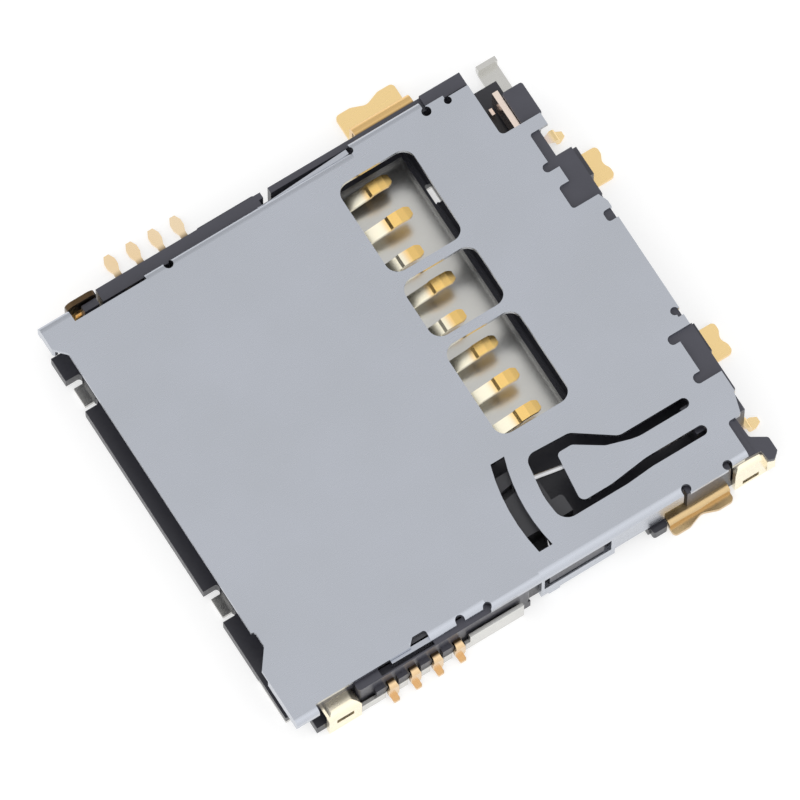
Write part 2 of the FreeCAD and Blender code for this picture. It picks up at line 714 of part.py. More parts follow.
def hold_down(path, y0, y1, slot_z):
    """A corner hold-down: an angle with a narrow slot in its upright and round corners on top."""
    plate = strip_across_y(path, TAB_BEND, TAB_T, y0, y1)
    drop = path[1][0]
    slot = box(drop - TAB_T, drop + TAB_T, y0 + HOLD_SLOT_END, y1 - HOLD_SLOT_END,
               slot_z, slot_z + HOLD_SLOT_H)
    top = max(path[0][1], path[-1][1] - TAB_T / 2) + TAB_T / 2
    outline = [(y0, -1, 0), (y0, top, HOLD_CORNER_R), (y1, top, HOLD_CORNER_R), (y1, -1, 0)]
    return plate.cut(slot).common(side_prism(outline, drop - 2, drop + 2))


def hold_down_front_left():
    """The one that stands apart from the cover, on a foot turned inwards under the rail."""
    drop = LEFT - HOLD_LEFT_DROP
    path = [(LEFT + 0.15, TAB_T / 2), (drop, TAB_T / 2), (drop, COVER_UNDER - FIT)]
    return hold_down(path, LEFT_CORNER + SLACK, LEFT_CORNER + 0.95, FLOOR_TOP + 0.05)


def hold_down_front_right():
    """A plain angle that stands on its cut edge."""
    drop = RIGHT + HOLD_RIGHT_DROP
    level = COVER_UNDER - 0.60
    path = [(SLIDER_X1 + FIT, level), (drop, level), (drop, 0)]
    return hold_down(path, RIGHT_CORNER + 0.18, RIGHT_CORNER + 1.22, FLOOR_TOP + 0.10)


def hold_down_rear_right():
    """The same angle, taller, with an ear round the corner block."""
    drop = RIGHT + HOLD_REAR_DROP
    level = HEIGHT - DROP_SHORT - 0.12
    path = [(RIGHT - SHEET - FIT, level), (drop, level), (drop, 0)]
    angle = hold_down(path, RIGHT_WALL + 0.13, RIGHT_END + 0.50, TAB_T)
    rear = RIGHT_END + 0.50
    out = RIGHT + CORNER_BLOCK_OUT - 0.06
    web = box(drop, out, rear - EAR_T, rear, EAR_FOOT, BLOCK_FOOT)
    ear = box(out - EAR_T, out, rear - EAR_T, CORNER_BLOCK_REAR - 0.12, EAR_FOOT, BLOCK_FOOT)
    return fuse([angle, web, ear])


# Card-detect switch: the blade stands on edge behind the slot's end


def switch_tail(x, out):
    """A switch terminal's tail over the rear edge."""
    drop = WALL_OUT + SWITCH_DROP
    tip = WALL_OUT + out
    start = WALL_IN + 0.10
    path = [(start, MID_LEAD), (drop, MID_LEAD), (drop, STRIP_T / 2), (tip, STRIP_T / 2)]
    tail = strip_across_x(path, STRIP_BEND, STRIP_T, x - TAIL_W / 2, x + TAIL_W / 2)
    plan = [(y, px, r) for px, y, r in foot_outline(tip, start - 1, x)]
    return tail.common(prism(plan, -1, 1))


def detect_blade():
    """The moving contact of the card-detect switch: tail, lead and an upright spring blade."""
    right = SWITCH_BLADE_X + TAIL_W / 2
    left = right - TAIL_W
    front = SWITCH_Y - SWITCH_T
    z0 = FLOOR_TOP - STRIP_T
    top = COVER_UNDER - 0.22
    lead = box(left, right, front, WALL_IN + 0.6, z0, FLOOR_TOP)
    riser = box(left, right, front, SWITCH_Y, z0, top)
    blade = box(right - SWITCH_BLADE_L, right, front, SWITCH_Y, FLOOR_TOP + 0.17, top)
    bend = front + SWITCH_FLANGE
    flange = box(right - SWITCH_BLADE_L, left - FIT, front, bend, top - SWITCH_T, top)
    return fuse([switch_tail(SWITCH_BLADE_X, SWITCH_TAIL), lead, riser, blade, flange])


def detect_contact():
    """The fixed contact of the switch: a long lead across the floor to the rear-left corner."""
    x = SWITCH_LEAD_X
    z0 = FLOOR_TOP - STRIP_T
    half = LEAD_W / 2
    turn_y = WALL_IN - 1.15
    bus_y = CREST_Y + PIT_BEHIND + 0.42
    left_x = SWITCH_BLADE_X + TAIL_W / 2 - SWITCH_BLADE_L + 0.25
    rear = SWITCH_Y - 2 * SWITCH_T
    lead = box(x - TAIL_W / 2, x + TAIL_W / 2, turn_y - half, WALL_IN + 0.6, z0, FLOOR_TOP)
    low = BUS_TOP - STRIP_T
    cross = box(BUS_STEP_X, x + TAIL_W / 2, turn_y - half, turn_y + half, low, BUS_TOP)
    down = box(BUS_STEP_X, BUS_STEP_X + LEAD_W, bus_y - BUS_W / 2, turn_y + half, low, BUS_TOP)
    bus = box(left_x - half, BUS_STEP_X + LEAD_W, bus_y - BUS_W / 2, bus_y + BUS_W / 2, low, BUS_TOP)
    up = box(left_x - half, left_x + half, bus_y - BUS_W / 2, rear, low, BUS_TOP)
    nose = box(left_x - SWITCH_NOSE, left_x + SWITCH_NOSE, rear - SWITCH_NOSE, rear,
               low, COVER_UNDER - 0.90)
    return fuse([switch_tail(x, SWITCH_TAIL_LONG), lead, cross, down, bus, up, nose])


# Bottom plate and housing


def front_tabs():
    """Left and right edge of each silver tab in the front lip."""
    return [(x, x + FRONT_TAB_W) for x in (FRONT_TAB_LEFT, FRONT_TAB_RIGHT)]


def lip_slots(z0, z1):
    """The narrow slots on both sides of each front tab of the plate."""
    slots = []
    for a, b in front_tabs():
        for x0, x1 in ((a - LIP_SLOT_W, a), (b, b + LIP_SLOT_W)):
            slots.append(rounded_box(x0, x1, LIP - 1, LIP + LIP_SLOT_L, z0, z1, LIP_SLOT_W / 2 - 0.005))
    return slots


def drain_slot(z0, z1):
    """The narrow slot through floor and plate, behind the second contact."""
    x = contact_x(2) - 0.52
    y = CREST_Y + PIT_BEHIND + 0.08
    return box(x, x + 0.60, y, y + 0.22, z0, z1)


def bottom_plate():
    """The steel plate under the card, with front tabs, a right wall and a curled rear-left corner."""
    plate_front = LIP + 0.48
    right = CARD_RIGHT - FIT
    parts = [box(CARD_LEFT + WALL_TO_CARD, right, plate_front, WALL_IN - 0.15, 0, PLATE_T)]
    for a, b in front_tabs():
        parts.append(box(a, b, LIP + 0.12, plate_front + FIT, 0, PLATE_T))
    parts.append(box(right - FIT, SLIDER_X1 - SLIDER_TO_FACE, LIP, LIP + 0.83, 0, PLATE_T))
    parts.append(box(right - FIT, right + 0.25, plate_front, LIP + 2.53, 0, PLATE_T))
    thin = PLATE_T * 2 / 3
    wall_x = RIGHT + PLATE_WALL_OUT
    high = TAIL_Y1 + TAIL_PITCH / 2
    rear = RAIL_RIGHT_GAP - 0.32
    for y0, y1, top in ((RAIL_RIGHT_FRONT, high, PLATE_WALL_LOW), (high, rear, PLATE_WALL_HIGH)):
        wall = [(CARD_RIGHT - 0.3, thin / 2), (wall_x, thin / 2), (wall_x, top)]
        parts.append(strip_across_y(wall, thin * 1.5, thin, y0, y1))
    curl_x = LEFT - 0.57
    curl_y = SWITCH_Y + 0.12
    curl = [(CARD_LEFT + 0.3, PLATE_T / 2), (curl_x, PLATE_T / 2), (curl_x, FLOOR_TOP + 0.07)]
    parts.append(strip_across_y(curl, TAB_BEND, PLATE_T, curl_y, curl_y + 0.62))
    parts.append(box(CARD_LEFT + 0.2, CARD_LEFT + 0.8, WALL_IN - 0.45, curl_y + 0.62, 0, PLATE_T))
    notches = [drain_slot(-1, 1)]
    for number in right_contacts():
        y = tail_y(number)
        notches.append(box(RIGHT + SLACK, wall_x + 0.3, y - 0.22, y + 0.22, -1, HEIGHT))
    return fuse(parts).cut(notches).removeSplitter()


def left_side():
    """The left rail, its lump beside the tails, and the blocks of the rear-left corner."""
    inner = LEFT - SLACK
    outer = LEFT - RAIL_LEFT_W
    top = COVER_UNDER - RAIL_LEFT_DOWN
    return [
        box(outer, inner, RAIL_LEFT_FRONT, SIDE_LUMP_REAR + 0.15, 0, top),
        box(outer, inner, SIDE_LUMP_REAR + 0.40, RAIL_LEFT_REAR, 0, top),
        box(outer + 0.18, inner, SIDE_LUMP_REAR, SIDE_LUMP_REAR + 0.5, 0, top),
        box(outer + 0.20, inner, FRONT + 1.40, RAIL_LEFT_FRONT + FIT, PLATE_T, top),
        rounded_box(outer - SIDE_LUMP, inner, SIDE_LUMP_FRONT, SIDE_LUMP_REAR, 0, top - 0.15, BLOCK_R),
        box(outer, inner, LEFT_EAR + 0.15, RAIL_LEFT_REAR, 0, COVER_UNDER - BLOCK_R),
        rounded_box(DOWEL_X, LEFT + 1.80, SWITCH_Y + 0.10, SWITCH_Y + 0.75, 0, COVER_UNDER - 0.08, 0.08),
    ]


def right_side():
    """The right rails, the rib of the latch window, the teeth between the tails and the lug."""
    inner = SLIDER_X1 + FIT
    wall = RIGHT - SHEET - SLACK
    top = COVER_UNDER - RAIL_RIGHT_DOWN
    parts = [
        box(inner, wall, RAIL_RIGHT_GAP - 0.3, WALL_IN, 0, top),
        rounded_box(inner, RIGHT, RAIL_RIGHT_FRONT, RAIL_RIGHT_GAP, 0, top, 0.12),
        box(inner, RIGHT, RIGHT_EAR, RIGHT_WALL + 0.08, 0, COVER_UNDER - 0.12),
        box(inner, RIGHT - FIT, RIGHT_LATCH + 0.30, RIGHT_SKIRT - 0.32,
            FLOOR_TOP + 0.35, COVER_UNDER - 0.30),
        rounded_box(inner, RIGHT + 0.18, RIGHT_TAB - 0.44, RIGHT_TAB + 0.02, 0, FLOOR_TOP, 0.08),
    ]
    for number in right_contacts():
        y = tail_y(number) - TAIL_PITCH / 2
        parts.append(box(RIGHT - 0.1, RIGHT + 0.14, y - 0.15, y + 0.15,
                         PLATE_WALL_LOW, TAIL_RIGHT_EXIT + 0.10))
    return parts


def rear_side():
    """The rear wall with its blocks, and the corner block at the right."""
    block = RIGHT + CORNER_BLOCK_OUT
    tab_left = REAR_TAB_LEFT
    tab_right = REAR_TAB_RIGHT
    blocks = [
        (LEFT + 1.78, RIGHT, WALL_OUT - 0.45),
        (tab_left + 0.11, RIGHT - 1.20, WALL_OUT),
        (tab_left + 0.11, tab_left + 1.71, WALL_OUT + 0.04),
        (tab_right + 0.13, tab_right + 2.35, WALL_OUT + 0.10),
    ]
    parts = [box(x0, x1, WALL_IN, y1, 0, COVER_UNDER) for x0, x1, y1 in blocks]
    for x0 in (tab_left, tab_right):
        parts.append(box(x0 + FIT, x0 + REAR_TAB_W - FIT, WALL_OUT - 0.1, WALL_OUT + LEDGE_OUT,
                         0, LEDGE_TOP))
    low = WALL_OUT - 0.76
    parts.append(prism([(RIGHT - 1.30, low, 0), (RIGHT, low, 0), (RIGHT + 0.03, low + 0.50, 0.05),
                        (block - 0.06, low + 0.53, 0.08), (block, CORNER_BLOCK_REAR - 0.19, 0.05),
                        (block - 0.17, CORNER_BLOCK_REAR, 0.05),
                        (RIGHT - 0.20, CORNER_BLOCK_REAR, 0.10), (RIGHT - 0.48, low + 0.44, 0.1),
                        (RIGHT - 1.30, low + 0.40, 0)], 0, COVER_UNDER - 0.04))
    return parts


def pivot_seat():
    """The block in front of the rear wall that the cam pin turns in."""
    left = PIVOT_X - 0.48
    right = SPRING_X - SPRING_R - FIT
    return box(left, right, PIVOT_Y - 0.35, WALL_IN + 0.1, 0, PIN_Z - PIN_DIA / 2 - 0.01)


def housing(inserts):
    """The moulded housing, with pockets where the metal pieces sit in it."""
    floor = box(LEFT - SLACK, RIGHT, LIP, WALL_OUT - 0.45, 0, FLOOR_TOP)
    rib_y = CREST_Y + PIT_BEHIND + RIB_BEHIND
    rib = box(CARD_LEFT, CARD_RIGHT - NOSE_STEP, rib_y, rib_y + RIB_T, 0, FLOOR_TOP + 0.08)
    stop = box(SLIDER_X0, SLIDER_X1 + FIT, LIP + 0.33, SLIDER_FRONT - FIT, 0, COVER_UNDER)
    base = fuse([floor, rib, stop, pivot_seat()] + left_side() + right_side() + rear_side())
    last = contact_x(CONTACT_COUNT)
    leaf_x = RIGHT - STEP_IN + 0.10
    tools = [
        box(contact_x(1) - PIT_SIDE, last + PIT_SIDE, CREST_Y - BEAM_L - PIT_AHEAD, CREST_Y + PIT_BEHIND,
            -1, 1),
        drain_slot(-1, 1),
        box(LEFT - 0.9, LEFT + 0.1, RAIL_LEFT_FRONT - 0.12, RAIL_LEFT_FRONT, -1, 2),
        post(PIVOT_X, PIVOT_Y, PIN_DIA / 2 + SLACK, PIN_Z - PIVOT_DEPTH - SLACK, HEIGHT),
        box(PIVOT_X - 0.3, PIVOT_X + 0.3, WALL_IN - 0.1, WALL_IN + 0.25, PIN_Z - PIN_DIA / 2 - 0.01, HEIGHT),
        box(RIGHT - SHEET - FIT, RIGHT + 1, RAIL_RIGHT_GAP, RIGHT_TAB - 0.52, -1, FLOOR_TOP + SLACK),
        box(SLIDER_X1 - FIT, leaf_x, RIGHT_STEP - 3.43, RIGHT_STEP - 1.73, COVER_UNDER - 0.42, HEIGHT),
        box(LEFT - 0.25, LEFT - SLACK, LEFT_BULGE - 2.8, LEFT_BULGE + FIT, COVER_UNDER - 0.80, HEIGHT),
    ]
    block_edge = WALL_OUT - 0.31
    tools.append(box(RIGHT + 0.03, RIGHT + 1, block_edge, REAR + 1, -1, BLOCK_FOOT))
    tools.append(rounded_box(LEFT - 1, CARD_LEFT + 0.14, FRONT - 1, FRONT + 0.55, -1, 1, BLOCK_R))
    corner = SLIDER_X1 - SLIDER_TO_FACE
    tools.append(rounded_box(corner, RIGHT + 1, FRONT - 1, RIGHT_CORNER - 0.1, -1, HEIGHT, BLOCK_R))
    tools += lip_slots(-1, 1)
    tools += [box(a - SLACK, b + SLACK, LIP - 1, LIP + LIP_SLOT_L, -1, 1) for a, b in front_tabs()]
    return base.cut(tools + inserts).removeSplitter()


# Slider, cam pin and spring


def cam_track():
    """The heart-shaped track: slanted way in, lock notch, and the way back round the island."""
    z0 = SLIDER_TOP - TRACK_DEPTH
    width = PIN_DIA + 2 * TRACK_CLEAR
    end_x, end_y = pin_tip(PIN_SWING)
    end_y -= TRAVEL
    steps = [(TIP_X, TIP_Y), (end_x, end_y), (end_x - 0.34, end_y + 0.42), (end_x - 0.62, end_y + 0.10),
             (end_x - 0.80, end_y + 0.75), (TIP_X + 0.04, TIP_Y - TRAVEL / 3)]
    return [track(a, b, width, z0, SLIDER_TOP + 1) for a, b in zip(steps[:-1], steps[1:])]


def slider():
    """The moulded slider: card shoulder, cam block with its track, and the spring's pocket."""
    block_x0 = CARD_RIGHT - NOSE_STEP + 0.10
    rail = SLIDER_X1 - RIB_W
    body = fuse([
        rounded_box(SLIDER_X0, SLIDER_X1, SLIDER_FRONT, SLIDER_REAR, SLIDER_Z0, SLIDER_TOP, 0.12),
        rounded_box(block_x0, SLIDER_X0 + 0.5, CAM_FRONT, SLIDER_REAR - CAM_SETBACK,
                    SLIDER_Z0, SLIDER_TOP, 0.1),
        box(rail, SLIDER_X1, SLIDER_FRONT + 0.2, SLIDER_REAR - 0.2, SLIDER_Z0, SLIDER_TOP + RIB_H),
    ])
    gap = SPRING_R + SPRING_CLEAR
    top = SLIDER_TOP + 1
    pocket = box(SPRING_X - gap, SPRING_X + gap, POCKET_FRONT, SLIDER_REAR + 1, SPRING_Z - gap, top)
    seat_rear = CAM_FRONT - 0.15
    seat_front = SLIDER_FRONT + 0.35
    latch_seat = box(SLIDER_X0 - 1, SLIDER_X0 + 0.10, seat_front, seat_rear, 0, top)
    return body.cut(cam_track() + [pocket, latch_seat]).removeSplitter()


def card_latch():
    """The spring leaf on the slider, whose nose drops into the notch in the card's side."""
    x = SLIDER_X0 + 0.10 - LATCH_T / 2
    front = SLIDER_FRONT + 0.35
    rear = CAM_FRONT - 0.15
    path = [(x, rear - SLACK), (x, front + 0.75), (x - 0.28, front + 0.42), (x - 0.04, front + 0.08)]
    z0 = FLOOR_TOP + 0.17
    return strip_upright(path, LATCH_T, z0, z0 + LATCH_W)


def wire_section(centre, across, other):
    """The cam pin's cross-section: a circle drawn with flat sides, in the plane of two directions."""
    angles = [2 * math.pi * i / PIN_SIDES for i in range(PIN_SIDES)]
    ring = [centre + (across * math.cos(a) + other * math.sin(a)) * (PIN_DIA / 2) for a in angles]
    return Part.Face(Part.makePolygon(ring + ring[:1]))


def cam_pin():
    """The bent steel wire: one leg pivots in the housing, the other follows the track."""
    lean = math.radians(PIN_LEAN)
    along = V(-math.sin(lean), -math.cos(lean), 0)
    up = V(0, 0, 1)
    bend = PIN_BEND_R
    pivot = V(PIVOT_X, PIVOT_Y, PIN_Z)
    tip = V(TIP_X, TIP_Y, PIN_Z)
    foot = V(PIVOT_X, PIVOT_Y, PIN_Z - PIVOT_DEPTH)
    end = V(TIP_X, TIP_Y, SLIDER_TOP - TRACK_DEPTH + TRACK_CLEAR)
    across = up.cross(along)
    parts = [wire_section(foot, across, along).extrude(up * (PIVOT_DEPTH - bend))]
    for corner, inward in ((pivot, along), (tip, along * -1)):
        start = corner - up * bend
        turn = 90 if inward is along else -90
        parts.append(wire_section(start, across, along).revolve(start + inward * bend, across, turn))
    run = PIN_REACH - 2 * bend
    parts.append(wire_section(pivot + along * bend, across, up).extrude(along * run))
    parts.append(wire_section(end, across, along).extrude(up * (tip.z - bend - end.z)))
    return fuse(parts)


def eject_spring():
    """The coil spring that pushes the slider and the card back out."""
    coil_r = SPRING_R - SPRING_WIRE / 2
    length = SPRING_L - SPRING_WIRE - 2 * SLACK
    helix = Part.makeHelix(length / SPRING_TURNS, length, coil_r)
    half = SPRING_WIRE / 2
    corners = [V(coil_r + half, 0, 0), V(coil_r, 0, half), V(coil_r - half, 0, 0), V(coil_r, 0, -half)]
    ring = Part.makePolygon(corners + corners[:1])
    coil = Part.Wire(helix).makePipeShell([ring], True, True)
    coil.rotate(V(0, 0, 0), V(1, 0, 0), -90)
    coil.translate(V(SPRING_X, POCKET_FRONT + SPRING_WIRE / 2 + SLACK, SPRING_Z))
    return coil


def build():
    """All the pieces, by name."""
    nodes = {}
    for number in range(1, CONTACT_COUNT + 1):
        nodes["contact_%d" % number] = contact(number)
    nodes["bottom_plate"] = bottom_plate()
    nodes["detect_blade"] = detect_blade()
    nodes["detect_contact"] = detect_contact()
    nodes["solder_tab_left"] = solder_tab_left()
    nodes["solder_tab_right"] = solder_tab_right()
    nodes["solder_tab_rear_left"] = solder_tab_rear(REAR_TAB_LEFT)
    nodes["solder_tab_rear_right"] = solder_tab_rear(REAR_TAB_RIGHT)
    nodes["hold_down_front_left"] = hold_down_front_left()
    nodes["hold_down_front_right"] = hold_down_front_right()
    nodes["hold_down_rear_right"] = hold_down_rear_right()
    nodes["cover"] = cover()
    nodes["housing"] = housing(list(nodes.values()))
    nodes["slider"] = slider()
    nodes["card_latch"] = card_latch()
    nodes["cam_pin"] = cam_pin()
    nodes["eject_spring"] = eject_spring()
    return nodes


os.makedirs("parts", exist_ok=True)
for name, shape in build().items():
    piece = shape.Solids[0] if len(shape.Solids) == 1 else shape
    piece.exportStep("parts/%s.step" % name)
    print(name, len(piece.Solids), round(piece.Volume, 3), piece.isValid())
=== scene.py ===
import json
import math

import bmesh
import bpy
from mathutils import Matrix, Vector

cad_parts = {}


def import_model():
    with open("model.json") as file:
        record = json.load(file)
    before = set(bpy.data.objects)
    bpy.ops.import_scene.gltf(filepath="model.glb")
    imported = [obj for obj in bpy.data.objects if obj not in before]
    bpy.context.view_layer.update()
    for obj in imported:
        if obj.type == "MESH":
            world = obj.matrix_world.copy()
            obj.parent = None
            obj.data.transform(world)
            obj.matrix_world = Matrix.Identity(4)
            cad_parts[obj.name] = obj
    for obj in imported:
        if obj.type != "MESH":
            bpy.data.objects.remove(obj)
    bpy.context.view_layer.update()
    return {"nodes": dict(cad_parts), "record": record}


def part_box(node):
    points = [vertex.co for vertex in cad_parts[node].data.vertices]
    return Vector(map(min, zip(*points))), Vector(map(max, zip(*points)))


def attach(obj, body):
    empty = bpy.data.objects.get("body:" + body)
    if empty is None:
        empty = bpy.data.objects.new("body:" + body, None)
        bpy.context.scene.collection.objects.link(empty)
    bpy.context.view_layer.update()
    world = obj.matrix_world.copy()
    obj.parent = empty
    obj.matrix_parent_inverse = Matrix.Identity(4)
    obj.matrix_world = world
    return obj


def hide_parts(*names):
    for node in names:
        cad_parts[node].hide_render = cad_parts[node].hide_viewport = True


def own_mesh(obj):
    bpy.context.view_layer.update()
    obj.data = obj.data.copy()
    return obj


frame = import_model()
nodes = frame["nodes"]

MM = 0.001

# The photograph: where its middle points on the cover's top, and from where
PHOTO_TARGET = (0.22 * MM, -0.30 * MM, 1.85 * MM)
PHOTO_TURN = math.radians(32.087)
PHOTO_ELEVATION = math.radians(71.74)
PHOTO_DISTANCE = 396 * MM
PHOTO_LENS = 653.1
SENSOR = 36.0
CLIP_NEAR = 0.01
CLIP_FAR = 10.0

# The studio: which way its bright side lies, and how bright it is from the far side, 0, to the
# near side, 1. A colour ramp holds the levels, divided by SKY_SCALE to stay under 1.
SKY_TOWARDS = (0.847, -0.531)
SKY_STEPS = ((0.0, 0.66), (0.275, 0.71), (0.325, 0.83), (0.365, 0.85), (0.435, 1.10),
             (0.58, 1.17), (0.66, 1.26), (0.80, 1.22), (1.0, 1.04))
SKY_SCALE = 2.0

# The table: its width in metres, its gap under the feet, its grey and its glow
TABLE_SIZE = 2.0
TABLE_GAP = 0.02 * MM
TABLE_GREY = 0.50
TABLE_GLOW = 0.60

# Clouds and grain, each as features per metre and octaves of detail
METAL_CLOUDS = (420.0, 2.0)
METAL_GRAIN = (9000.0, 2.0)
PLASTIC_CLOUDS = (900.0, 4.0)
PLASTIC_GRAIN = (14000.0, 3.0)

# The grain of rolled sheet runs along Y
ROLLED = (1.0, 0.35, 1.0)

# The part of the noise's range that is used, for numbers and for colours
NOISE_LOW = 0.35
NOISE_HIGH = 0.65
TINT_LOW = 0.30
TINT_HIGH = 0.70

# What the grain does: its share of the roughness, how deep it is and how strongly that shows
METAL_BLUR = (0.96, 1.04)
METAL_DEPTH = 0.0002 * MM
METAL_RELIEF = 0.10
PLASTIC_BLUR = (0.85, 1.1)
PLASTIC_DEPTH = 0.0015 * MM
PLASTIC_RELIEF = 0.5

# Painted shade: plastic is darkest below one height in mm and palest above the other, with clouds
# paler still
PLASTIC_SHADE_Z = 0.40
PLASTIC_LIT_Z = 1.60
PLASTIC_CLOUD = 1.16

# Painted shade: the brown painted on the gold where it leaves the housing, standing in for the
# housing's shade and dark reflection
PAINTED_NECK_SHADE = (0.10, 0.065, 0.035)

# Edges that turn more than this stay sharp
SHARP_EDGE = math.radians(32)

# The eject spring's coil, and its end turns: how many are closed, and their pitch in wires
SPRING_WIRE = 0.14 * MM
SPRING_TURNS = 12.0
SPRING_STEPS = 28
SPRING_SIDES = 12
SPRING_CLOSED = 1.2
SPRING_CLOSE_PITCH = 1.05


# Node helpers


def new_material(name):
    """A material with an empty node tree, and its output."""
    material = bpy.data.materials.new(name)
    material.use_nodes = True
    material.node_tree.nodes.clear()
    output = material.node_tree.nodes.new("ShaderNodeOutputMaterial")
    return material, material.node_tree, output


def add(tree, kind, **values):
    """A node with some of its inputs set by name."""
    node = tree.nodes.new(kind)
    for name, value in values.items():
        node.inputs[name.replace("_", " ")].default_value = value
    return node


def link(tree, source, out_name, target, in_name):
    """A wire from one node's output to another's input."""
    tree.links.new(source.outputs[out_name], target.inputs[in_name])


def noise(tree, scale, detail, stretch=(1, 1, 1)):
    """Noise over the object's own coordinates, stretched along an axis if asked."""
    coord = tree.nodes.new("ShaderNodeTexCoord")
    mapping = add(tree, "ShaderNodeMapping", Scale=stretch)
    link(tree, coord, "Object", mapping, "Vector")
    texture = add(tree, "ShaderNodeTexNoise", Scale=scale, Detail=detail)
    link(tree, mapping, "Vector", texture, "Vector")
    return texture


def spread(tree, source, low, high):
    """Noise as a number between two."""
    node = add(tree, "ShaderNodeMapRange", From_Min=NOISE_LOW, From_Max=NOISE_HIGH,
               To_Min=low, To_Max=high)
    link(tree, source, "Fac", node, "Value")
    return node


def tint(tree, source, dark, light):
    """Noise as a colour between two."""
    node = tree.nodes.new("ShaderNodeValToRGB")
    node.color_ramp.elements[0].position = TINT_LOW
    node.color_ramp.elements[0].color = (*dark, 1)
    node.color_ramp.elements[1].position = TINT_HIGH
    node.color_ramp.elements[1].color = (*light, 1)
    link(tree, source, "Fac", node, "Fac")
    return node.outputs["Color"]


def bump(tree, source, distance, strength):
    """Noise as a height in metres, and that as a normal."""
    node = add(tree, "ShaderNodeBump", Strength=strength, Distance=distance)
    link(tree, source, "Fac", node, "Height")
    return node


def calculate(tree, operation, first, second):
    """A sum on two values, each a number or a node's output socket."""
    node = tree.nodes.new("ShaderNodeMath")
    node.operation = operation
    for socket, value in zip(node.inputs, (first, second)):
        if isinstance(value, (int, float)):
            socket.default_value = value
        else:
            tree.links.new(value, socket)
    return node.outputs[0]


def mixed(tree, factor, first, second):
    """The first colour where the factor is 0, the second where it is 1."""
    node = tree.nodes.new("ShaderNodeMix")
    node.data_type = "RGBA"
    tree.links.new(factor, node.inputs["Factor"])
    for name, value in (("A", first), ("B", second)):
        socket = [s for s in node.inputs if s.name == name and s.type == "RGBA"][0]
        if isinstance(value, tuple):
            socket.default_value = (*value, 1)
        else:
            tree.links.new(value, socket)
    return [s for s in node.outputs if s.type == "RGBA"][0]


def srgb(r, g, b):
    """A colour seen on screen, from 0 to 255, as linear light."""
    return tuple(((c / 255 + 0.055) / 1.055) ** 2.4 if c > 10 else c / 255 / 12.92
                 for c in (r, g, b))


# Materials


def fade(tree, axis, full, clear):
    """1 on the side of full, 0 on the side of clear: two places in mm on an axis of the object."""
    coord = tree.nodes.new("ShaderNodeTexCoord")
    split = tree.nodes.new("ShaderNodeSeparateXYZ")
    link(tree, coord, "Object", split, "Vector")
    node = add(tree, "ShaderNodeMapRange", From_Min=full * MM, From_Max=clear * MM,
               To_Min=1.0, To_Max=0.0)
    node.interpolation_type = "SMOOTHSTEP"
    link(tree, split, axis, node, "Value")
    return node.outputs["Result"]


def patch(tree, edges):
    """1 inside a stretch of the object, 0 outside, each edge as (axis, full, clear) in mm."""
    inside = None
    for axis, full, clear in edges:
        side = fade(tree, axis, full, clear)
        inside = side if inside is None else calculate(tree, "MULTIPLY", inside, side)
    return inside


def metal(name, dark, light, rough, patches=(), solid=1.0):
    """Satin metal: two close shades in soft clouds, rolled grain, patches of other colours, most
    of them painted highlight and shade.
    """
    material, tree, output = new_material(name)
    shader = add(tree, "ShaderNodeBsdfPrincipled", Metallic=solid)
    colour = tint(tree, noise(tree, *METAL_CLOUDS), dark, light)
    for shade, edges in patches:
        colour = mixed(tree, patch(tree, edges), colour, shade)
    tree.links.new(colour, shader.inputs["Base Color"])
    grain = noise(tree, *METAL_GRAIN, ROLLED)
    blur = spread(tree, grain, *(rough * share for share in METAL_BLUR))
    link(tree, blur, "Result", shader, "Roughness")
    height = bump(tree, grain, METAL_DEPTH, METAL_RELIEF)
    link(tree, height, "Normal", shader, "Normal")
    link(tree, shader, "BSDF", output, "Surface")
    return material


def plastic(name, low, high, rough):
    """Moulded plastic: a fine spark-eroded grain, and painted shade that darkens it towards the
    bottom.
    """
    material, tree, output = new_material(name)
    shader = add(tree, "ShaderNodeBsdfPrincipled", Metallic=0.0)
    clouds = noise(tree, *PLASTIC_CLOUDS)
    light = tint(tree, clouds, high, tuple(c * PLASTIC_CLOUD for c in high))
    # painted shade: from the clouded upper colour down to the low colour below the lower height
    colour = mixed(tree, fade(tree, "Z", PLASTIC_SHADE_Z, PLASTIC_LIT_Z), light, low)
    tree.links.new(colour, shader.inputs["Base Color"])
    grain = noise(tree, *PLASTIC_GRAIN)
    blur = spread(tree, grain, *(rough * share for share in PLASTIC_BLUR))
    link(tree, blur, "Result", shader, "Roughness")
    height = bump(tree, grain, PLASTIC_DEPTH, PLASTIC_RELIEF)
    link(tree, height, "Normal", shader, "Normal")
    link(tree, shader, "BSDF", output, "Surface")
    return material


def contact_patches():
    """Painted highlight and shade on the contacts: beams, noses, right tails, then both necks."""
    return [
        # painted highlight: near-white beams between 0.8 and 2.0 mm
        (srgb(255, 248, 224), [("Y", 2.00, 2.30), ("Y", 0.80, 0.60)]),
        # painted shade: deeper gold on the noses
        (srgb(253, 212, 132), [("Y", 2.36, 2.10)]),
        # painted shade: duller gold on the right tails
        (srgb(230, 200, 158), [("X", 6.56, 6.50)]),
        # painted shade: brown on the left and right necks
        (PAINTED_NECK_SHADE, [("X", -7.34, -7.60), ("X", -6.66, -6.60)]),
        (PAINTED_NECK_SHADE, [("X", 6.66, 6.76), ("X", 6.56, 6.50)]),
    ]


